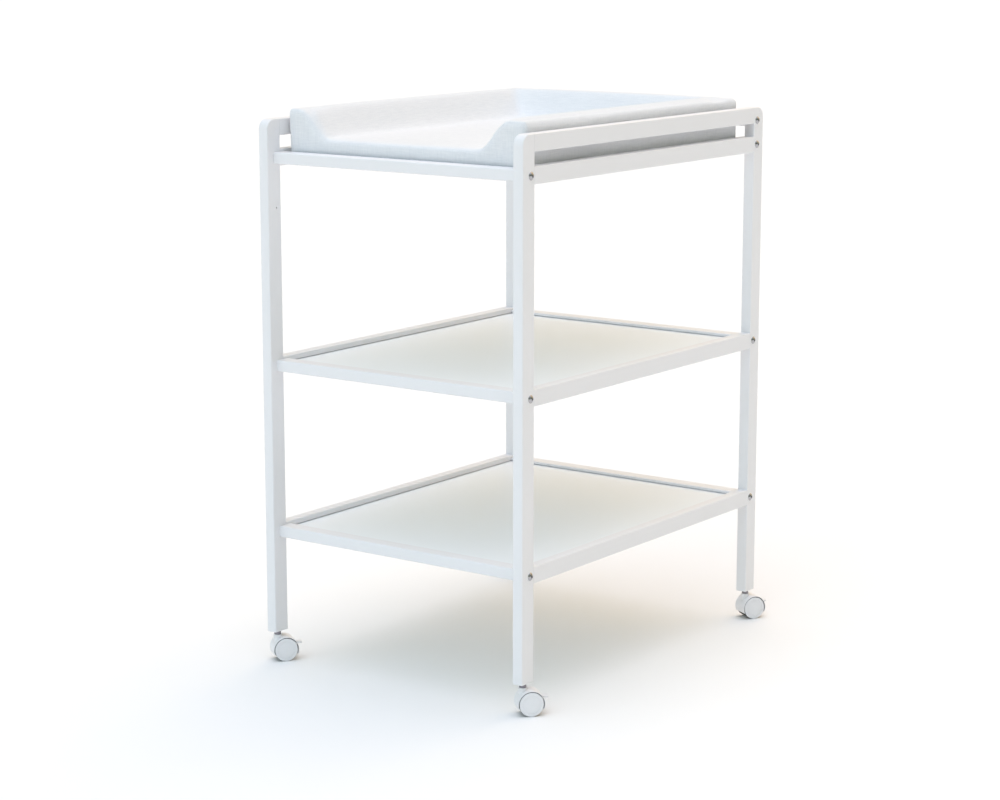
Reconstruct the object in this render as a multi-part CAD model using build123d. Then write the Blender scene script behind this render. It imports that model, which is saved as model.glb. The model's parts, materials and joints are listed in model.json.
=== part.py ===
from build123d import *
import os
from math import asin, cos, sin

# A rolling changing table: two ladder-like side frames of white painted beech, joined by flat
# cross laths and cross bolts. Three thin panels lie in grooves of the rails, a padded mat lies
# loose on the upper one, and each leg stands on a braked twin-wheel castor.
# Millimetres. +X is the right side, -Y the front (the open, low end of the mat), +Z up.

# ---- the frame as a whole ----
TABLE_W = 560.0          # outer faces of the left and right legs
TABLE_D = 764.0          # outer faces of the front and rear legs
LEG_TOP = 970.0          # above the floor
LEG_FOOT = 55.0          # underside of the legs
CENTRE_X = 7.0           # the middle of the floor box, seen from the middle of the frame:
CENTRE_Y = 10.0          # the castors trail towards the right and the rear

# ---- timber sections ----
LEG_X = 20.0
LEG_Y = 33.0
LEG_CORNER_R = 18.0      # rounding of each leg's outer top corner
EDGE_R = 2.5             # softened long edges
JOINT_EDGE_R = 0.8       # leg edges beside the rails
RAIL_T = 20.0            # side rails, as thick as the legs
RAIL_H = 29.4
LATH_D = 30.0            # cross laths, the same stock laid flat
LATH_H = 20.0
FRONT_INSET = 16.0       # from the legs' front faces to the front laths
REAR_INSET = 13.0        # from the legs' rear faces to the rear laths

# ---- heights of the rails' and laths' middles ----
LEVELS = {"bottom": 238.0, "middle": 537.5, "top": 902.5}
GUARD_RAIL_Z = LEG_TOP - RAIL_H / 2
GUARD_LATH_Z = 946.3

# ---- panels and their grooves ----
PANEL_T = 4.0
GROOVE_H = 5.0           # the gap above the panel shows as a thin shadow line
GROOVE_DEPTH = 4.0
TONGUE = 3.5             # how far the panel reaches into its groove
REBATE = 0.4             # the panel's upper face stands this much over its tongue
SHOULDER = 1.0           # and stops this far from the rails and laths
END_GAP = 0.3

# ---- fasteners ----
BOLT_D = 6.0
BOLT_HOLE_D = 6.5
BOLT_TIP = 24.0          # how far the bolt reaches into a lath
HEAD_D = 14.0
HEAD_H = 3.6
HEX_KEY = 4.0
HEX_DEPTH = 2.2
FRONT_BOLT_Y = 23.5      # from the leg's front face
REAR_BOLT_Y = 22.0       # from the leg's rear face
NUT_D = 10.0
NUT_L = 14.0
NUT_X = 17.0             # from the lath's end to the barrel nut's axis
NUT_HOLE_TOP = 7.5       # the nut's hole is drilled from below, to this far above the middle
DOWEL_D = 6.0            # rail to leg
DOWEL_L = 28.0
DOWEL_OFFSET = 8.5       # above and below the rail's middle
LATH_DOWEL_D = 5.0       # lath to side rail
LATH_DOWEL_L = 24.0
LATH_DOWEL_Y = 36.2      # from the leg's outer face
LATH_DOWEL_IN_RAIL = 10.0
PILOT_D = 3.5            # a spare hole in each front leg's inner face
PILOT_DEPTH = 8.0
PILOT_Z = LEG_TOP - 154.6
PILOT_Y = 21.7           # from the leg's front face

# ---- the mat ----
MAT_W = 501.0
MAT_FRONT_GAP = 2.0      # behind the front lath
MAT_REAR_GAP = 2.0       # in front of the rear lath
MAT_LIFT = 0.3           # free air over the panel
MAT_FLOOR_T = 30.0       # padding under the child
SIDE_BOLSTER_H = 81.0
REAR_BOLSTER_H = 78.0
BOLSTER_CREST = 44.0     # width of the crest, from the mat's side
BOLSTER_FOOT = 85.0      # width at the foot

# ---- castors, about the stem's axis: x along the trail, y along the axle, z from the floor ----
HEADINGS = {
    "front_left": 54.0,  # direction of the trail, degrees from +X
    "front_right": 48.0,
    "rear_left": 54.0,
    "rear_right": 59.0,
}
WHEEL_R = 20.8
WHEEL_IN = 7.0           # inner and outer face of a wheel, from the castor's middle
WHEEL_OUT = 17.4
WHEEL_DOME = 0.8
WHEEL_EDGE = 1.6
RING_R = 15.0            # a shallow groove round the wheel's face
RING_W = 0.8
RING_DEPTH = 0.4
TRAIL = 12.0
HOOD_R = 23.3
HOOD_BORE_R = 22.3
HOOD_HALF_W = 17.2
HOOD_LOW_Z = 12.0
WEB_HALF_W = 6.0
BOSS_R = 7.5
BOSS_TOP = 47.3
COLLAR_R = 6.0
STEM_R = 4.0
STEM_FIT = 0.08
STEM_LOW_Z = 25.0
STEM_UP = 36.0           # into the leg
SOCKET_R = 5.6
SOCKET_L = 40.0
AXLE_R = 3.0
AXLE_FIT = 0.06
AXLE_HALF_L = 15.5
LEVER_X = 27.0           # brake lever's pivot
LEVER_Z = 30.0
LEVER_ROOT_R = 3.4
LEVER_HALF_W = 2.9
LEVER_SLOT = 3.2
LEVER_T = 3.2
TAB_X0 = 33.9
TAB_X1 = 43.0
TAB_HALF_W = 7.0
LEVER_PIN_R = 1.25
LEVER_PIN_FIT = 0.05

SIDES = {"left": -1, "right": 1}
ENDS = {"front": -1, "rear": 1}
X_IN = TABLE_W / 2 - LEG_X            # inner face of legs and side rails
RAIL_X = X_IN + RAIL_T / 2
RAIL_Y = TABLE_D / 2 - LEG_Y          # where a side rail ends at a leg
LEG_CX = TABLE_W / 2 - LEG_X / 2
LEG_CY = TABLE_D / 2 - LEG_Y / 2
INSET = {"front": FRONT_INSET, "rear": REAR_INSET}
BOLT_Y = {"front": FRONT_BOLT_Y, "rear": REAR_BOLT_Y}
PANEL_DROP = LATH_H / 2 - 6.0         # the panel's face over the middle of its laths
LATH_LEVELS = {
    "front": dict(LEVELS),
    "rear": {**LEVELS, "guard": GUARD_LATH_Z},
}
RAIL_LEVELS = {**LEVELS, "guard": GUARD_RAIL_Z}


def save(name, *pieces):
    """Moves a node's solids from the frame's middle to the part's origin and writes them."""
    solids = []
    for piece in pieces:
        solids += (Pos(-CENTRE_X, -CENTRE_Y, 0) * piece).solids()
    node = solids[0] if len(solids) == 1 else Compound(solids)
    node.label = name
    export_step(node, f"parts/{name}.step")


def rod_x(radius, x0, x1, y, z):
    """A round bar along X from x0 to x1."""
    return Pos((x0 + x1) / 2, y, z) * Rot(0, 90, 0) * Cylinder(radius, abs(x1 - x0))


def rod_y(radius, y0, y1, x, z):
    """A round bar along Y from y0 to y1."""
    return Pos(x, (y0 + y1) / 2, z) * Rot(90, 0, 0) * Cylinder(radius, abs(y1 - y0))


def rod_z(radius, z0, z1, x=0.0, y=0.0):
    """A round bar along Z from z0 to z1."""
    return Pos(x, y, (z0 + z1) / 2) * Cylinder(radius, abs(z1 - z0))


def block(x0, x1, y0, y1, z0, z1):
    """A box between two corners."""
    return Pos((x0 + x1) / 2, (y0 + y1) / 2, (z0 + z1) / 2) * Box(x1 - x0, y1 - y0, z1 - z0)


def cap(radius, height):
    """A shallow dome that stands on the XY plane."""
    ball_r = (radius**2 + height**2) / (2 * height)
    tilt = asin(radius / ball_r) / 2
    middle = (ball_r * sin(tilt), height - ball_r + ball_r * cos(tilt))
    outline = [
        Line((0, 0), (radius, 0)),
        ThreePointArc((radius, 0), middle, (0, height)),
        Line((0, height), (0, 0)),
    ]
    return revolve(Plane.XZ * make_face(Curve() + outline), Axis.Z)


def lath_y(end, distance):
    """The Y of something that lies a distance in from the legs' outer faces."""
    return ENDS[end] * (TABLE_D / 2 - distance)


def dowel_offsets(level):
    """Heights of a side rail's two dowels over its middle; the guard's clear the lath's bolt."""
    if level == "guard":
        return (0.0, DOWEL_OFFSET)
    return (-DOWEL_OFFSET, DOWEL_OFFSET)


def side_dowels(side, end):
    """The dowels that hold one leg to its four side rails."""
    y = ENDS[end] * RAIL_Y
    dowels = []
    for level, z in RAIL_LEVELS.items():
        for dz in dowel_offsets(level):
            x = SIDES[side] * RAIL_X
            dowels.append(rod_y(DOWEL_D / 2, y - DOWEL_L / 2, y + DOWEL_L / 2, x, z + dz))
    return dowels


def lath_dowel(side, end, z):
    """The small dowel that keeps a lath from turning on its bolt."""
    s = SIDES[side]
    x0 = s * (X_IN + LATH_DOWEL_IN_RAIL)
    return rod_x(LATH_DOWEL_D / 2, x0, x0 - s * LATH_DOWEL_L, lath_y(end, LATH_DOWEL_Y), z)


def leg(side, end):
    """A flat leg with soft edges and one rounded top corner, drilled for bolts and dowels."""
    s = SIDES[side]
    e = ENDS[end]
    body = block(-LEG_X / 2, LEG_X / 2, -LEG_Y / 2, LEG_Y / 2, LEG_FOOT, LEG_TOP)
    top_edges = body.edges().filter_by(Axis.X).group_by(Axis.Z)[-1]
    body = fillet([edge for edge in top_edges if edge.center().Y * e > 0], LEG_CORNER_R)
    uprights = body.edges().filter_by(Axis.Z)
    body = fillet([edge for edge in uprights if edge.center().Y * e > 0], EDGE_R)
    uprights = body.edges().filter_by(Axis.Z)
    body = fillet([edge for edge in uprights if edge.center().Y * e < 0.1 - LEG_Y / 2], JOINT_EDGE_R)
    body = Pos(s * LEG_CX, e * LEG_CY, 0) * body
    for z in LATH_LEVELS[end].values():
        y = lath_y(end, BOLT_Y[end])
        body -= rod_x(BOLT_HOLE_D / 2, s * X_IN - s, s * (TABLE_W / 2 + 1), y, z)
    for dowel in side_dowels(side, end):
        body -= dowel
    body -= rod_z(SOCKET_R, LEG_FOOT - 1, LEG_FOOT + SOCKET_L, s * LEG_CX, e * LEG_CY)
    if end == "front":
        depth = s * (X_IN + PILOT_DEPTH)
        body -= rod_x(PILOT_D / 2, s * (X_IN - 1), depth, lath_y(end, PILOT_Y), PILOT_Z)
    return body


def side_rail(side, level):
    """A side rail on edge between two legs, with the panel's groove in its inner face."""
    s = SIDES[side]
    z = RAIL_LEVELS[level]
    rail = Pos(s * RAIL_X, 0, z) * Box(RAIL_T, 2 * RAIL_Y, RAIL_H)
    rail = fillet(rail.edges().filter_by(Axis.Y), EDGE_R)
    if level != "guard":
        y0 = -TABLE_D / 2 + FRONT_INSET + LATH_D
        y1 = TABLE_D / 2 - REAR_INSET - LATH_D
        xs = sorted((s * (X_IN - 1), s * (X_IN + GROOVE_DEPTH)))
        z0 = z + PANEL_DROP - PANEL_T
        rail -= block(xs[0], xs[1], y0, y1, z0, z0 + GROOVE_H)
    for end in ENDS:
        for dowel in side_dowels(side, end):
            rail -= dowel
        for lath_z in LATH_LEVELS[end].values():
            rail -= lath_dowel(side, end, lath_z)
    return rail


def lath(end, level):
    """A cross lath laid flat, with soft long edges, a groove, and a bolt and nut hole at each end."""
    e = ENDS[end]
    z = LATH_LEVELS[end][level]
    y_mid = lath_y(end, INSET[end] + LATH_D / 2)
    bar = Pos(0, y_mid, z) * Box(2 * X_IN, LATH_D, LATH_H)
    bar = fillet(bar.edges().filter_by(Axis.X), EDGE_R)
    if level != "guard":
        inner = y_mid - e * LATH_D / 2
        ys = sorted((inner - e, inner + e * GROOVE_DEPTH))
        z0 = z + PANEL_DROP - PANEL_T
        bar -= block(-X_IN - 1, X_IN + 1, ys[0], ys[1], z0, z0 + GROOVE_H)
    y = lath_y(end, BOLT_Y[end])
    for side, s in SIDES.items():
        bar -= rod_x(BOLT_HOLE_D / 2, s * (X_IN + 1), s * (X_IN - BOLT_TIP - 1), y, z)
        bar -= rod_z(NUT_D / 2, z - LATH_H / 2 - 1, z + NUT_HOLE_TOP, s * (X_IN - NUT_X), y)
        bar -= lath_dowel(side, end, z)
    return bar


def panel(level):
    """A thin panel with a rebated edge: its tongue lies in the grooves, notched round the laths."""
    y0 = -TABLE_D / 2 + FRONT_INSET + LATH_D
    y1 = TABLE_D / 2 - REAR_INSET - LATH_D
    z2 = LEVELS[level] + PANEL_DROP
    z1 = z2 - REBATE
    z0 = z2 - PANEL_T
    long_part = block(-X_IN + END_GAP, X_IN - END_GAP, y0 - TONGUE, y1 + TONGUE, z0, z1)
    wide_part = block(-X_IN - TONGUE, X_IN + TONGUE, y0 + END_GAP, y1 - END_GAP, z0, z1)
    face = block(-X_IN + SHOULDER, X_IN - SHOULDER, y0 + SHOULDER, y1 - SHOULDER, z0, z2)
    return long_part + wide_part + face


def bolt(side, end, z):
    """A cross bolt through a leg into a lath: plain shank, domed head with a hexagon socket."""
    s = SIDES[side]
    x0 = TABLE_W / 2
    y = lath_y(end, BOLT_Y[end])
    shank = rod_z(BOLT_D / 2, X_IN - BOLT_TIP, x0)
    head = Pos(0, 0, x0) * cap(HEAD_D / 2, HEAD_H)
    key = extrude(RegularPolygon(HEX_KEY / 2, 6, major_radius=False), HEX_DEPTH + 1)
    piece = Rot(0, 90, 0) * (shank + head - Pos(0, 0, x0 + HEAD_H - HEX_DEPTH) * key)
    return Pos(0, y, z) * (piece if s > 0 else Rot(0, 0, 180) * piece)


def barrel_nut(side, end, z):
    """A steel cross dowel with a threaded hole, shown plain, for one bolt."""
    s = SIDES[side]
    x = s * (X_IN - NUT_X)
    y = lath_y(end, BOLT_Y[end])
    nut = rod_z(NUT_D / 2, z - NUT_L / 2, z + NUT_L / 2, x, y)
    nut = chamfer(nut.edges().filter_by(GeomType.CIRCLE), 0.6)
    return nut - rod_x(BOLT_D / 2, x - NUT_D, x + NUT_D, y, z)


def mat():
    """The mat as one plain cushion: a flat floor with a bolster on both sides and at the rear."""
    z0 = LEVELS["top"] + PANEL_DROP + MAT_LIFT
    y0 = -TABLE_D / 2 + FRONT_INSET + LATH_D + MAT_FRONT_GAP
    y1 = TABLE_D / 2 - REAR_INSET - LATH_D - MAT_REAR_GAP
    half = MAT_W / 2
    outline = [
        (-half, 0),
        (half, 0),
        (half, SIDE_BOLSTER_H),
        (half - BOLSTER_CREST, SIDE_BOLSTER_H),
        (half - BOLSTER_FOOT, MAT_FLOOR_T),
        (-half + BOLSTER_FOOT, MAT_FLOOR_T),
        (-half + BOLSTER_CREST, SIDE_BOLSTER_H),
        (-half, SIDE_BOLSTER_H),
    ]
    section = Plane.XZ * make_face(Polyline(*outline, close=True))
    body = Pos(0, y1, 0) * extrude(section, y1 - y0)
    rear = [
        (y1, 0),
        (y1, REAR_BOLSTER_H),
        (y1 - BOLSTER_CREST, REAR_BOLSTER_H),
        (y1 - BOLSTER_FOOT, MAT_FLOOR_T),
        (y1 - BOLSTER_FOOT, 0),
    ]
    rear_section = Plane.YZ * make_face(Polyline(*rear, close=True))
    bolster = Pos(-half + 1, 0, 0) * extrude(rear_section, MAT_W - 2)
    body = body + bolster
    corners = body.edges().filter_by(Axis.Z)
    body = fillet([edge for edge in corners if abs(edge.center().X) > half - 1], 12.0)
    return Pos(0, 0, z0) * body


def at_castor(corner):
    """The place of a castor's stem on the floor, turned to its heading."""
    end, side = corner.split("_")
    return Pos(SIDES[side] * LEG_CX, ENDS[end] * LEG_CY, 0) * Rot(0, 0, HEADINGS[corner])


def castor_socket():
    """A nylon sleeve in the foot of the leg."""
    return rod_z(SOCKET_R, LEG_FOOT, LEG_FOOT + SOCKET_L) - rod_z(STEM_R, LEG_FOOT - 1, LEG_FOOT + STEM_UP)


def castor_stem():
    """A turned steel pin: its upper end is fixed in the socket, the housing turns on the lower."""
    pin = rod_z(STEM_R, STEM_LOW_Z, LEG_FOOT + STEM_UP)
    collar = rod_z(COLLAR_R, BOSS_TOP + END_GAP, LEG_FOOT)
    return chamfer((pin + collar).edges().group_by(Axis.Z)[-1], 0.8)


def castor_housing():
    """A moulded hood over both wheels, one piece with the web between them and the stem's boss."""
    disc = rod_y(HOOD_R, -HOOD_HALF_W, HOOD_HALF_W, TRAIL, WHEEL_R)
    rims = disc.edges().filter_by(GeomType.CIRCLE)
    disc = fillet(rims, 0.8)
    body = disc + rod_z(BOSS_R, WHEEL_R, BOSS_TOP)
    body -= block(-HOOD_R, TRAIL + 2 * HOOD_R, -HOOD_R, HOOD_R, -HOOD_R, HOOD_LOW_Z)
    for s in (-1, 1):
        body -= rod_y(HOOD_BORE_R, s * WEB_HALF_W, s * (HOOD_HALF_W + 5), TRAIL, WHEEL_R)
    body -= rod_z(STEM_R + STEM_FIT, STEM_LOW_Z - 1, BOSS_TOP + 1)
    body -= rod_y(AXLE_R, -HOOD_R, HOOD_R, TRAIL, WHEEL_R)
    body -= block(22.0, 42.0, -LEVER_SLOT, LEVER_SLOT, 23.5, 36.0)
    body -= block(31.6, 42.0, -TAB_HALF_W - 0.6, TAB_HALF_W + 0.6, 24.0, 33.8)
    body -= rod_y(LEVER_PIN_R, -WEB_HALF_W - 1, WEB_HALF_W + 1, LEVER_X, LEVER_Z)
    return body


def castor_wheel(s):
    """A wheel with a domed outer face and a blind hole for the axle; s picks the side."""
    wheel = rod_z(WHEEL_R, WHEEL_IN, WHEEL_OUT)
    rims = wheel.edges().filter_by(GeomType.CIRCLE).sort_by(Axis.Z)
    wheel = fillet(rims[-1], WHEEL_EDGE)
    wheel += Pos(0, 0, WHEEL_OUT) * cap(WHEEL_R - WHEEL_EDGE, WHEEL_DOME)
    groove = rod_z(RING_R + RING_W / 2, WHEEL_OUT - RING_DEPTH, WHEEL_OUT + 2)
    groove -= rod_z(RING_R - RING_W / 2, WHEEL_OUT - RING_DEPTH - 1, WHEEL_OUT + 3)
    wheel -= groove
    wheel -= rod_z(AXLE_R + AXLE_FIT, WHEEL_IN - 1, AXLE_HALF_L + 0.3)
    return Pos(TRAIL, 0, WHEEL_R) * Rot(-s * 90, 0, 0) * wheel


def castor_axle():
    """A steel pin pressed through the housing's web."""
    return rod_y(AXLE_R, -AXLE_HALF_L, AXLE_HALF_L, TRAIL, WHEEL_R)


def brake_lever():
    """A small moulded lever: a root on its pin, an arm through the hood and a tab for the toe."""
    root = rod_y(LEVER_ROOT_R, -LEVER_HALF_W, LEVER_HALF_W, LEVER_X, LEVER_Z)
    half_t = LEVER_T / 2
    arm = block(LEVER_X, TAB_X1 - 1, -LEVER_HALF_W, LEVER_HALF_W, LEVER_Z - half_t, LEVER_Z + half_t)
    tab = block(TAB_X0, TAB_X1, -TAB_HALF_W, TAB_HALF_W, LEVER_Z - half_t, LEVER_Z + half_t)
    tab = fillet(tab.edges().filter_by(Axis.Z).group_by(Axis.X)[-1], 3.0)
    return root + arm + tab - rod_y(LEVER_PIN_R + LEVER_PIN_FIT, -9, 9, LEVER_X, LEVER_Z)


def brake_pin():
    """The lever's pivot, pressed into the cheeks of the web."""
    return rod_y(LEVER_PIN_R, -WEB_HALF_W + 0.1, WEB_HALF_W - 0.1, LEVER_X, LEVER_Z)


os.makedirs("parts", exist_ok=True)

joints = [(side, end, z) for side in SIDES for end in ENDS for z in LATH_LEVELS[end].values()]

for side in SIDES:
    for end in ENDS:
        save(f"leg_{end}_{side}", leg(side, end))
    for level in RAIL_LEVELS:
        save(f"{level}_rail_{side}", side_rail(side, level))
for end in ENDS:
    for level in LATH_LEVELS[end]:
        save(f"{level}_lath_{end}", lath(end, level))
save("deck_panel", panel("top"))
save("middle_shelf_panel", panel("middle"))
save("bottom_shelf_panel", panel("bottom"))
save("frame_bolts", *[bolt(*joint) for joint in joints])
save("barrel_nuts", *[barrel_nut(*joint) for joint in joints])
save("lath_dowels", *[lath_dowel(*joint) for joint in joints])
save("rail_dowels", *[dowel for side in SIDES for end in ENDS for dowel in side_dowels(side, end)])
save("changing_mat", mat())

save("castor_sockets", *[at_castor(corner) * castor_socket() for corner in HEADINGS])
for corner in HEADINGS:
    place = at_castor(corner)
    save(f"castor_stem_{corner}", place * castor_stem())
    save(f"castor_housing_{corner}", place * castor_housing())
    save(f"castor_axle_{corner}", place * castor_axle())
    save(f"castor_wheel_left_{corner}", place * castor_wheel(-1))
    save(f"castor_wheel_right_{corner}", place * castor_wheel(1))
    save(f"brake_lever_{corner}", place * brake_lever())
    save(f"brake_pin_{corner}", place * brake_pin())
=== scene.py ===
import json
from math import pi, radians

import bpy
import numpy as np
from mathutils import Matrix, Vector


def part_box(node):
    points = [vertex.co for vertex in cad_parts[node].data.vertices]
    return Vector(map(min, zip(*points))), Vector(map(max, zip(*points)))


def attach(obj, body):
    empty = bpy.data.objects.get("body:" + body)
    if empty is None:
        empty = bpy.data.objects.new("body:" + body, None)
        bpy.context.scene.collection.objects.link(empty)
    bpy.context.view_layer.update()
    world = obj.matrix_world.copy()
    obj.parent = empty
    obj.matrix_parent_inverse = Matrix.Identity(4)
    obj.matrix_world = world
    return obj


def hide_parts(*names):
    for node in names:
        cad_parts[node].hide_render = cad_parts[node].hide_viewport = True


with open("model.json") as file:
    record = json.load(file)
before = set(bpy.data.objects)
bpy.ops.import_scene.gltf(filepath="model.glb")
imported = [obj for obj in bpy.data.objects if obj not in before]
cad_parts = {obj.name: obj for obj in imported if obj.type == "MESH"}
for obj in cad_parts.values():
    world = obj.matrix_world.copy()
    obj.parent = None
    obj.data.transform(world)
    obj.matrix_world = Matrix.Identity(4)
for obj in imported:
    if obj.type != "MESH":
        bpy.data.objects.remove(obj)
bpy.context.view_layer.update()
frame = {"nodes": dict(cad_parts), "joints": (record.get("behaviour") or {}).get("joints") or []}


# ---------------------------------------------------------------------------------------------
# Legs, rails and laths: planed beech, edges eased with a small round cutter, sprayed with three
# coats of satin white. The side frames are dowelled and glued, the flat laths bolted between them.
# ---------------------------------------------------------------------------------------------
class Wire:
    """One output of a node; arithmetic on it adds Math nodes to the same tree."""

    def __init__(self, socket):
        self.socket = socket

    def math(self, operation, *values):
        return Nodes(self.socket.node.id_data).add("Math", dict(enumerate(values)), operation=operation)

    def __add__(self, other):
        return self.math("ADD", self, other)

    __radd__ = __add__

    def __sub__(self, other):
        return self.math("SUBTRACT", self, other)

    def __rsub__(self, other):
        return self.math("SUBTRACT", other, self)

    def __mul__(self, other):
        return self.math("MULTIPLY", self, other)

    __rmul__ = __mul__

    def __pow__(self, other):
        return self.math("POWER", self, other)

    def sine(self):
        return self.math("SINE", self)

    def size(self):
        return self.math("ABSOLUTE", self)

    def larger(self, other):
        return self.math("MAXIMUM", self, other)

    def clamped(self):
        return self.math("MINIMUM", self.larger(0.0), 1.0)


def connect(slot, value):
    """Gives a socket its value, or the link that a Wire stands for."""
    if isinstance(value, Wire):
        slot.node.id_data.links.new(value.socket, slot)
    else:
        slot.default_value = value


class Nodes:
    """A tree of shader nodes."""

    def __init__(self, tree):
        self.tree = tree

    def add(self, kind, inputs=(), out=0, **settings):
        """A new node: its settings, then its inputs by name or number. Returns one output."""
        node = self.tree.nodes.new(f"ShaderNode{kind}")
        for name, value in settings.items():
            setattr(node, name, value)
        for slot, value in dict(inputs).items():
            connect(node.inputs[slot], value)
        return Wire(node.outputs[out])

    def split(self, vector):
        """The three parts of a vector."""
        first = self.add("SeparateXYZ", {0: vector})
        return [Wire(output) for output in first.socket.node.outputs]


class Finish(Nodes):
    """A material around one Principled shader."""

    def __init__(self, name, **shader):
        self.material = bpy.data.materials.new(name)
        self.material.use_nodes = True
        super().__init__(self.material.node_tree)
        self.set(**shader)
        self.place = self.add("TexCoord", out="Object")

    def set(self, **values):
        """Values or wires for the shader's own sockets."""
        for name, value in values.items():
            connect(self.tree.nodes["Principled BSDF"].inputs[name.replace("_", " ")], value)

    def scaled(self, scale, turn=(0, 0, 0)):
        """The piece's own coordinates in metres, stretched or turned."""
        return self.add("Mapping", {"Vector": self.place, "Scale": scale, "Rotation": turn})

    def drawn_out(self, along, lengthwise, across):
        """Those coordinates for a pattern with so many repeats per metre along one axis and across it."""
        scale = [across] * 3
        scale[along] = lengthwise
        return self.scaled(scale)

    def noise(self, vector, scale, detail=3.0, roughness=0.5):
        """Noise of a scale in repeats per metre, or per unit of the vector it is given."""
        values = {"Vector": vector, "Scale": scale, "Detail": detail, "Roughness": roughness}
        return self.add("TexNoise", values)

    def mixed(self, amount, first, second):
        """A colour between two others."""
        return self.add("Mix", {0: amount, 6: first, 7: second}, out=2, data_type="RGBA")

    def bump(self, height, distance, strength, under=None):
        """Relief of a height in 0..1 times a distance in metres, over an earlier relief."""
        values = {"Height": height, "Distance": distance, "Strength": strength}
        if under:
            values["Normal"] = under
        relief = self.add("Bump", values)
        self.set(Normal=relief)
        return relief


def cover(nodes, finish):
    """Puts a finish on CAD nodes."""
    for node in nodes:
        mesh = frame["nodes"][node].data
        mesh.materials.clear()
        mesh.materials.append(finish.material)


SIDES = ("left", "right")
ENDS = ("front", "rear")
LEVELS = ("bottom", "middle", "top")
PAINT = (0.865, 0.86, 0.885, 1.0)
PAINT_THIN = (0.81, 0.795, 0.79, 1.0)
GRAIN = (6.0, 330.0)     # the grain's repeats per metre along the timber and across it
FLECK = (160.0, 1400.0)  # the same for the short ray flecks
SPRAY = 700.0            # the spray texture's repeats per metre
CLOUD = 9.0              # and those of the slow change in the paint's thickness


def painted_beech(along):
    """Satin paint over beech: faint long grain and short ray flecks in relief, fine spray texture,
    and patches where the paint is thinner and the wood's warmth shows a little."""
    finish = Finish(f"painted_beech_{'xyz'[along]}", Coat_Roughness=0.3, Specular_IOR_Level=0.45)
    grain = finish.noise(finish.drawn_out(along, *GRAIN), 1.0, detail=4.0, roughness=0.6)
    fleck = finish.noise(finish.drawn_out(along, *FLECK), 1.0, detail=1.0)
    fleck = ((fleck - 0.62) * 6.0).clamped()
    spray = finish.noise(finish.place, SPRAY, detail=2.0)
    cloud = finish.noise(finish.place, CLOUD, detail=2.0)
    shade = (grain * 0.35 + cloud * 0.5 + fleck * 0.1).clamped()
    finish.set(Base_Color=finish.mixed(shade * 0.35, PAINT, PAINT_THIN))
    finish.set(Roughness=0.34 + spray * 0.10 + grain * 0.06)
    relief = finish.bump(grain, 0.00010, 0.5)
    relief = finish.bump(fleck, 0.00004, 0.5, relief)
    finish.bump(spray, 0.00005, 0.6, relief)
    return finish


grain_x, grain_y, grain_z = (painted_beech(axis) for axis in range(3))
cover([f"leg_{end}_{side}" for end in ENDS for side in SIDES], grain_z)
cover([f"{level}_rail_{side}" for level in (*LEVELS, "guard") for side in SIDES], grain_y)
cover([f"{level}_lath_{end}" for level in LEVELS for end in ENDS] + ["guard_lath_rear"], grain_x)


# ---------------------------------------------------------------------------------------------
# Deck and shelf panels: thin fibreboard lacquered smooth on both faces, lying loose in the
# grooves of the rails and laths with a hair of air above the edge.
# ---------------------------------------------------------------------------------------------
LACQUER = (0.91, 0.94, 0.97, 1.0)
LACQUER_DULL = (0.87, 0.90, 0.93, 1.0)
ROLLER = 420.0           # the roller texture's repeats per metre
WAVE = 4.0               # those of the board's own slow waves
DUST = 1900.0            # and those of the dust caught in the lacquer


def lacquered_board():
    """Smooth lacquer: a faint roller texture, slow waves in the board and fine specks of dust."""
    finish = Finish("lacquered_board", Coat_Roughness=0.2, Specular_IOR_Level=0.4)
    roller = finish.noise(finish.place, ROLLER, detail=2.0)
    wave = finish.noise(finish.place, WAVE, detail=1.0)
    dust = finish.noise(finish.place, DUST, detail=0.0)
    dust = ((dust - 0.72) * 8.0).clamped()
    finish.set(Base_Color=finish.mixed(wave * 0.4 + dust * 0.3, LACQUER, LACQUER_DULL))
    finish.set(Roughness=0.30 + roller * 0.12 + wave * 0.05)
    relief = finish.bump(wave, 0.0006, 0.5)
    finish.bump(roller, 0.00004, 0.6, relief)
    return finish


cover(["deck_panel", "middle_shelf_panel", "bottom_shelf_panel"], lacquered_board())


# ---------------------------------------------------------------------------------------------
# Fasteners: bright zinc-plated cross bolts and barrel nuts, plain beech dowels glued in.
# ---------------------------------------------------------------------------------------------
ZINC = (0.46, 0.46, 0.48, 1.0)
BEECH = (0.62, 0.42, 0.25, 1.0)
BEECH_DARK = (0.42, 0.25, 0.13, 1.0)
PLATING = 300.0                       # repeats per metre of the clouding in the plating
SCRATCH = (900.0, 5200.0, 700.0)      # repeats per metre of the scratches, which are drawn out
SCRATCH_TURN = (0.4, 0.7, 0.2)        # and turned, so that they lie askew on every face
WORN = 0.72                           # brightness of dull plating, as a share of the bright
DOWEL_GRAIN = (90.0, 600.0)           # repeats per metre along a dowel and across it


def plated_steel(name, colour, roughness):
    """Plated steel: fine scratches that lie askew, and plating that clouds a little."""
    finish = Finish(name, Metallic=1.0, Coat_Roughness=0.1)
    cloud = finish.noise(finish.place, PLATING)
    scratch = finish.noise(finish.scaled(SCRATCH, SCRATCH_TURN), 1.0, detail=2.0)
    worn = tuple(value * WORN for value in colour[:3]) + (1.0,)
    finish.set(Base_Color=finish.mixed(cloud * 0.5, colour, worn))
    finish.set(Roughness=roughness + cloud * 0.12)
    finish.bump(scratch, 0.00002, 0.5)
    return finish


def raw_beech():
    """Turned beech with short dark flecks drawn out along Y, as the rail dowels lie."""
    finish = Finish("raw_beech", Roughness=0.6)
    grain = finish.noise(finish.drawn_out(1, *DOWEL_GRAIN), 1.0, detail=4.0)
    finish.set(Base_Color=finish.mixed(grain, BEECH, BEECH_DARK))
    finish.bump(grain, 0.0001, 0.6)
    return finish


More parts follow.
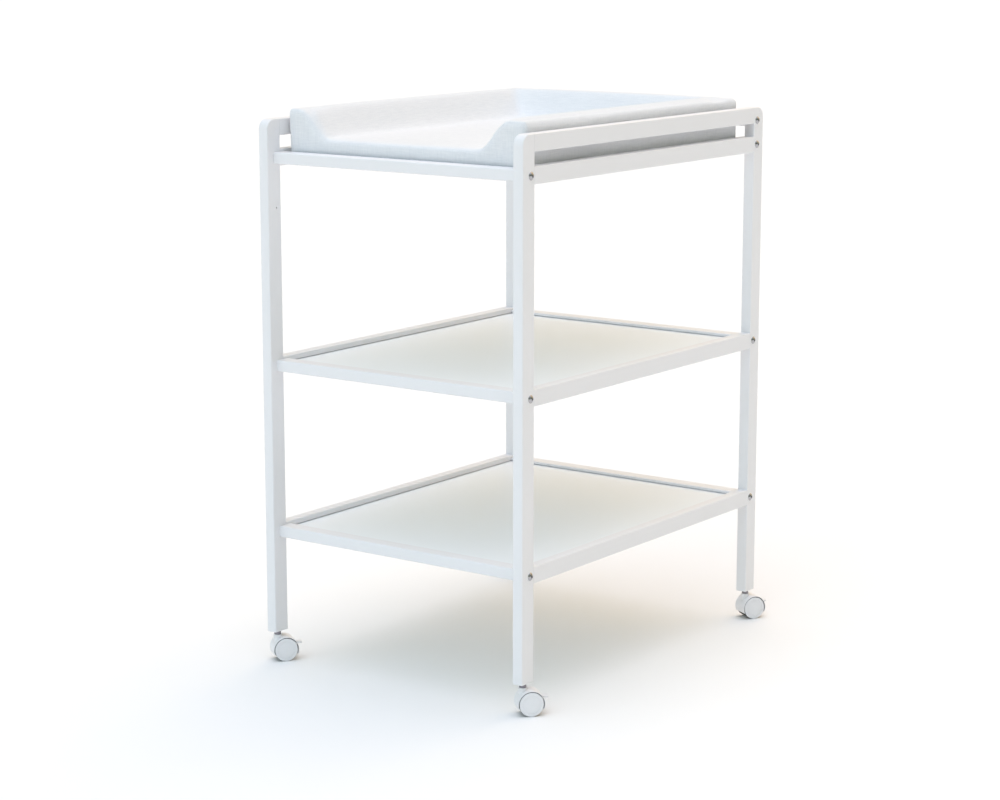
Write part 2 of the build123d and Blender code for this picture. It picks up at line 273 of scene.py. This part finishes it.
cover(["frame_bolts", "barrel_nuts"], plated_steel("bright_zinc", ZINC, 0.16))
cover(["lath_dowels", "rail_dowels"], raw_beech())


# ---------------------------------------------------------------------------------------------
# Castors: white moulded nylon hood and brake lever, white wheels whose tread and inner side are
# painted dark grey as painted shade for the shadowed gap under the hood, all on turned steel pins,
# pushed into a nylon sleeve in each leg.
# ---------------------------------------------------------------------------------------------
NYLON = (0.89, 0.88, 0.90, 1.0)
NYLON_FLOW = (0.83, 0.82, 0.84, 1.0)
# painted shade: the dark grey given to a wheel's tread and inner side, standing in for the shadowed gap
# under the hood
PAINTED_GAP_SHADE = (0.040, 0.040, 0.045, 1.0)
PAINTED_SHADE_HALF = 0.0158      # painted shade: a wheel is dark grey nearer its joint's place than this, and white outside
PAINTED_SHADE_EDGE = 5000.0      # the painted shade fades out over one part in this of a metre
TURNED_STEEL = (0.28, 0.27, 0.30, 1.0)
SKIN = 2600.0            # the mould texture's repeats per metre
FLOW = 60.0              # and those of the clouding left where the nylon flowed


def moulded_nylon(name, roll=None):
    """White nylon: a fine eroded mould texture, slight flow clouding, soft gloss. With a wheel's
    joint, its running surface and inner side are painted dark grey, painted shade for the shadowed
    gap under the hood, told by the distance |(p - place) . axis|."""
    finish = Finish(name)
    skin = finish.noise(finish.place, SKIN, detail=2.0)
    flow = finish.noise(finish.place, FLOW)
    colour = finish.mixed(flow * 0.6, NYLON, NYLON_FLOW)
    roughness = 0.26 + skin * 0.1 + flow * 0.08
    if roll:
        x, y = finish.split(finish.place)[:2]
        along = (x - roll["pos_m"][0]) * roll["axis"][0] + (y - roll["pos_m"][1]) * roll["axis"][1]
        # painted shade: the wheel's tread and inner side turn dark grey, as if in the shadow of the gap
        # under the hood
        gap_shade = ((PAINTED_SHADE_HALF - along.size()) * PAINTED_SHADE_EDGE).clamped()
        colour = finish.mixed(gap_shade, colour, PAINTED_GAP_SHADE)
        roughness = roughness + gap_shade * 0.3
    finish.set(Base_Color=colour, Roughness=roughness)
    finish.bump(skin, 0.00003, 0.6)
    return finish


joints = {joint["name"]: joint for joint in frame["joints"]}
nylon_nodes = ["castor_sockets"]
pin_nodes = []
for corner in [f"{end}_{side}" for end in ENDS for side in SIDES]:
    wheel = moulded_nylon(f"wheel_nylon_{corner}", joints[f"roll_left_{corner}"])
    cover([f"castor_wheel_{side}_{corner}" for side in SIDES], wheel)
    nylon_nodes += [f"castor_housing_{corner}", f"brake_lever_{corner}"]
    pin_nodes += [f"castor_stem_{corner}", f"castor_axle_{corner}", f"brake_pin_{corner}"]
cover(nylon_nodes, moulded_nylon("moulded_nylon"))
cover(pin_nodes, plated_steel("turned_steel", TURNED_STEEL, 0.3))


# ---------------------------------------------------------------------------------------------
# Changing mat: a foam shape in a fine woven cotton cover, flat in the middle, with a bolster on
# both sides and at the rear. It lies loose on the deck, between the laths.
# ---------------------------------------------------------------------------------------------
mat_low, mat_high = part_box("changing_mat")
MAT_ROOM = (0.005, 0.0015, 0.0015)    # how far the full cover may stand outside the cushion
START = (0.003, 0.0005)  # how far outside the cushion's plan the cover starts, in X and Y
LIFT = 0.0005            # how far over its underside it starts
SWELL = 0.003            # the farthest that the cover may move as it fills
FLOOR_T = 0.028          # padding under the child
CREST_H = mat_high.z - mat_low.z + 0.001    # height of a bolster, with its cover
CREST = 0.034            # width of a bolster's crest
FOOT = 0.095             # width of a bolster at its foot
SKEW = 0.008             # the right bolster is this much wider, the left one this much narrower
PLAN_R = 0.005           # radius of the mat's upright corners
EDGE_R = 0.003           # radius of its upper edges
OVERLAP = 0.004          # how softly two bolsters run into each other
AROUND = 480             # points round the plan
UNDER_RINGS = 24         # rings over the underside, up the wall, round the edge and over the top
WALL_RINGS = 12
EDGE_RINGS = 7
TOP_RINGS = 70
HUB = 0.02               # the innermost ring, as a share of the plan; a flat lid closes it
VOXEL = 0.0063           # cell of the even mesh that the cover is filled in


def bolster(distance):
    """Share of a bolster's height at a distance in from its outer side: 1 on the crest, then the
    smooth step 3t^2 - 2t^3 down to 0 at the foot."""
    t = np.clip((FOOT - distance) / (FOOT - CREST), 0.0, 1.0)
    return t * t * (3.0 - 2.0 * t)


def mat_top(x, y, half_x, half_y):
    """Height of the mat's upper face over its underside: the padding plus the higher bolster, the
    two joined by a smooth maximum, (a + b + sqrt((a - b)^2 + c^2) - c) / 2, with c going to 0
    where only one of them rises."""
    side = bolster(half_x - np.abs(x) - np.sign(x) * SKEW) * (CREST_H - FLOOR_T)
    head = bolster(half_y - y) * (CREST_H - FLOOR_T)
    soft = OVERLAP * np.clip(np.minimum(side, head) / 0.01, 0.0, 1.0)
    return FLOOR_T + (side + head + np.sqrt((side - head) ** 2 + soft**2) - soft) / 2


def rounded_plan(half_x, half_y, radius, count):
    """A rectangle with round corners, as a loop of evenly spaced points: the circle's four quarters
    pushed out to the corners, then sampled again at equal steps of its length."""
    turn = np.linspace(0, 2 * pi, 20001)
    x = np.sign(np.cos(turn)) * (half_x - radius) + radius * np.cos(turn)
    y = np.sign(np.sin(turn)) * (half_y - radius) + radius * np.sin(turn)
    run = np.concatenate([[0.0], np.cumsum(np.hypot(np.diff(x), np.diff(y)))])
    even = np.linspace(0, run[-1], count, endpoint=False)
    return np.interp(even, run, x), np.interp(even, run, y)


def mesh_piece(name, points, faces):
    """A mesh object with its place in its points."""
    mesh = bpy.data.meshes.new(name)
    mesh.from_pydata(points, [], faces)
    mesh.update()
    piece = bpy.data.objects.new(name, mesh)
    bpy.context.scene.collection.objects.link(piece)
    return piece


def mat_shell():
    """The mat as a closed shell of rings round its plan: out over the underside, up the wall, round
    a quarter-circle edge and in over the top, each ring at the height that mat_top gives."""
    half_x = (mat_high.x - mat_low.x) / 2 + START[0]
    half_y = (mat_high.y - mat_low.y) / 2 + START[1]
    plan_x, plan_y = rounded_plan(half_x, half_y, PLAN_R, AROUND)

    def ring(inset, share, part, drop):
        """One ring: inset in metres, a share of the plan, a part of the height there, less a drop."""
        x = plan_x * (1 - inset / half_x) * share
        y = plan_y * (1 - inset / half_y) * share
        return np.stack([x, y, (mat_top(x, y, half_x, half_y) - drop) * part], axis=1)

    rings = [ring(0.0, share, 0.0, 0.0) for share in np.linspace(HUB, 1.0, UNDER_RINGS)]
    rings += [ring(0.0, 1.0, part, EDGE_R) for part in np.linspace(0.08, 1.0, WALL_RINGS)]
    for turn in np.linspace(0, pi / 2, EDGE_RINGS)[1:]:
        rings.append(ring(EDGE_R * (1 - np.cos(turn)), 1.0, 1.0, EDGE_R * (1 - np.sin(turn))))
    rings += [ring(EDGE_R, share, 1.0, 0.0) for share in np.linspace(1.0, HUB, TOP_RINGS)[1:]]
    middle = np.array([(mat_high.x + mat_low.x) / 2, (mat_high.y + mat_low.y) / 2, mat_low.z + LIFT])
    points = np.concatenate(rings) + middle
    row = np.arange(len(rings) - 1)[:, None] * AROUND
    here = row + np.arange(AROUND)
    after = row + (np.arange(AROUND) + 1) % AROUND
    quads = np.stack([here, after, after + AROUND, here + AROUND], axis=-1).reshape(-1, 4)
    last = (len(rings) - 1) * AROUND
    lids = [list(range(AROUND))[::-1], list(range(last, last + AROUND))]
    return mesh_piece("changing_mat_cover", points.tolist(), quads.tolist() + lids)


def apply(piece, kind, **settings):
    """Adds one modifier to a piece and applies it."""
    bpy.ops.object.select_all(action="DESELECT")
    piece.select_set(True)
    bpy.context.view_layer.objects.active = piece
    modifier = piece.modifiers.new("step", kind)
    for name, value in settings.items():
        setattr(modifier, name, value)
    bpy.ops.object.modifier_apply(modifier=modifier.name)


def vectors(source, name):
    """A mesh's points or its point normals, as the rows of an array."""
    found = np.empty(len(source) * 3, np.float32)
    source.foreach_get(name, found)
    return found.reshape(-1, 3).astype(float)


FRAMES = 20              # how long the cover is left to fill
PRESSURE = 4.0


def fill(piece):
    """Fills a closed cover like a sewn case: cloth under pressure, its drift as a whole taken out,
    no point moved farther than SWELL, and nothing pushed past MAT_ROOM, so it stays off the laths
    and the deck."""
    start = vectors(piece.data.vertices, "co")
    cloth = piece.modifiers.new("cover", "CLOTH")
    cloth.settings.quality = 4
    cloth.settings.mass = 0.3
    cloth.settings.tension_stiffness = 20.0
    cloth.settings.compression_stiffness = 20.0
    cloth.settings.shear_stiffness = 8.0
    cloth.settings.bending_stiffness = 1.0
    cloth.settings.use_pressure = True
    cloth.settings.uniform_pressure_force = PRESSURE
    cloth.settings.effector_weights.gravity = 0.0
    cloth.point_cache.frame_end = FRAMES
    for step in range(1, FRAMES + 1):
        bpy.context.scene.frame_set(step)
    filled = piece.evaluated_get(bpy.context.evaluated_depsgraph_get())
    move = vectors(filled.data.vertices, "co") - start
    move -= move.mean(axis=0)
    reach = np.linalg.norm(move, axis=1, keepdims=True)
    move *= np.minimum(1.0, SWELL / np.maximum(reach, 1e-9))
    piece.modifiers.remove(cloth)
    bpy.context.scene.frame_set(1)
    lowest = np.subtract(mat_low, (*MAT_ROOM[:2], 0.0))
    highest = np.add(mat_high, MAT_ROOM)
    placed = np.clip(start + move, lowest, highest)
    piece.data.vertices.foreach_set("co", placed.ravel())
    piece.data.update()


def facing(piece):
    """Stores how much each point faces along X, Y and Z: |n|^4, made to add up to 1."""
    share = np.abs(vectors(piece.data.vertex_normals, "vector")) ** 4
    share /= share.sum(axis=1, keepdims=True)
    layer = piece.data.attributes.new("facing", "FLOAT_VECTOR", "POINT")
    layer.data.foreach_set("vector", share.astype(np.float32).ravel())


COTTON = (0.91, 0.91, 0.92, 1.0)
COTTON_SHADE = (0.75, 0.76, 0.79, 1.0)
THREADS = 0.0026         # width of one thread over and one under
SLUB = (45.0, 520.0)     # the uneven yarn's repeats per metre along a thread and across it
NAP = 2600.0             # and those of the loose fibres


def woven_cotton():
    """Slubby plain weave. On each face the threads run along the two axes that lie in it: a product
    of two sines for the weave, and noise drawn out along each thread for the uneven yarn."""
    finish = Finish("woven_cotton", Sheen_Weight=0.2, Sheen_Roughness=0.5, Specular_IOR_Level=0.2)
    pitch = 2 * pi / THREADS
    wander = finish.noise(finish.place, 30.0, detail=2.0) * 3.0
    threads = [(axis * pitch + wander).sine() for axis in finish.split(finish.place)]
    share = finish.split(finish.add("Attribute", out="Vector", attribute_name="facing"))
    slubs = [finish.noise(finish.drawn_out(axis, *SLUB), 1.0, detail=2.0) for axis in range(3)]
    weave = 0.0
    yarn = 0.0
    for axis in range(3):
        first, second = (axis + 1) % 3, (axis + 2) % 3
        weave = share[axis] * threads[first] * threads[second] + weave
        yarn = share[axis] * (slubs[first] + slubs[second]) + yarn
    nap = finish.noise(finish.place, NAP, detail=1.0)
    cloud = finish.noise(finish.place, 12.0)
    shade = (weave * 0.18 + yarn * 0.75 + cloud * 0.25 - 0.45).clamped()
    finish.set(Base_Color=finish.mixed(shade, COTTON_SHADE, COTTON))
    finish.set(Roughness=0.92 - nap * 0.15)
    relief = finish.bump(weave * 0.5 + 0.5, 0.0003, 0.6)
    relief = finish.bump(yarn * 0.5, 0.0006, 0.5, relief)
    finish.bump(nap, 0.0001, 0.3, relief)
    return finish


mat = mat_shell()
apply(mat, "REMESH", mode="VOXEL", voxel_size=VOXEL)
fill(mat)
apply(mat, "SUBSURF", levels=1, render_levels=1)
mat.data.polygons.foreach_set("use_smooth", np.ones(len(mat.data.polygons), bool))
facing(mat)
mat.data.materials.append(woven_cotton().material)
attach(mat, "mat")
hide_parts("changing_mat")


# ---------------------------------------------------------------------------------------------
# The studio: a pale floor that fades into white, soft light from all round and above, cooler from
# the front and warmer from behind, and the camera.
# ---------------------------------------------------------------------------------------------
FLOOR_R = 80.0
FLOOR_SIDES = 96
FLOOR_Z = -0.0002        # a hair under the wheels
FLOOR_PAINT = (0.93, 0.93, 0.93, 1.0)
FLOOR_SPECK = (0.91, 0.91, 0.91, 1.0)
turns = np.linspace(0, 2 * pi, FLOOR_SIDES, endpoint=False)
disc = np.stack([FLOOR_R * np.cos(turns), FLOOR_R * np.sin(turns), np.full(FLOOR_SIDES, FLOOR_Z)], axis=1)
floor = mesh_piece("studio_floor", disc.tolist(), [list(range(FLOOR_SIDES))])
floor_paint = Finish("floor_paint", Roughness=0.7, Specular_IOR_Level=0.1)
speck = floor_paint.noise(floor_paint.place, 3.0, detail=2.0)
floor_paint.set(Base_Color=floor_paint.mixed(speck, FLOOR_PAINT, FLOOR_SPECK))
floor.data.materials.append(floor_paint.material)

SKY = (
    # direction, how narrow, colour times strength
    ((0.0, 0.0, 1.0), 4.0, (1.80, 1.80, 2.14)),
    ((0.0, 0.85, 0.53), 6.0, (1.62, 1.08, 0.50)),
    ((0.0, -0.85, 0.53), 6.0, (0.70, 0.96, 1.12)),
)
AMBIENT = (0.25, 0.28, 0.22)


def studio_sky():
    """The light from all round: an even part, and soft lobes of (direction . way)^n."""
    world = bpy.data.worlds.new("studio_sky")
    world.use_nodes = True
    sky = Nodes(world.node_tree)
    way = sky.add("TexCoord", out="Generated")
    total = AMBIENT
    for direction, narrow, colour in SKY:
        toward = sky.add("VectorMath", {0: way, 1: direction}, out="Value", operation="DOT_PRODUCT")
        amount = toward.larger(0.0) ** narrow
        lobe = sky.add("VectorMath", {0: colour, "Scale": amount}, operation="SCALE")
        total = sky.add("VectorMath", {0: lobe, 1: total}, operation="ADD")
    connect(world.node_tree.nodes["Background"].inputs["Color"], total)
    return world


bpy.context.scene.world = studio_sky()

bpy.context.scene.view_settings.view_transform = "Standard"
bpy.context.scene.view_settings.look = "None"

LENS = 89.64             # millimetres, on a sensor this wide
SENSOR = 36.0
EYE = (2.5768, -3.6345, 1.3072)
PITCH = 10.902           # degrees that the camera looks down
HEADING = 35.913         # and degrees that it is turned to the left of straight back
SHIFT = (-0.00023, -0.00072)
camera_data = bpy.data.cameras.new("camera")
camera_data.lens = LENS
camera_data.sensor_width = SENSOR
camera_data.shift_x, camera_data.shift_y = SHIFT
camera_data.clip_end = 200.0
camera = bpy.data.objects.new("camera", camera_data)
camera.location = EYE
camera.rotation_euler = (radians(90.0 - PITCH), 0.0, radians(HEADING))
bpy.context.scene.collection.objects.link(camera)
bpy.context.scene.camera = camera
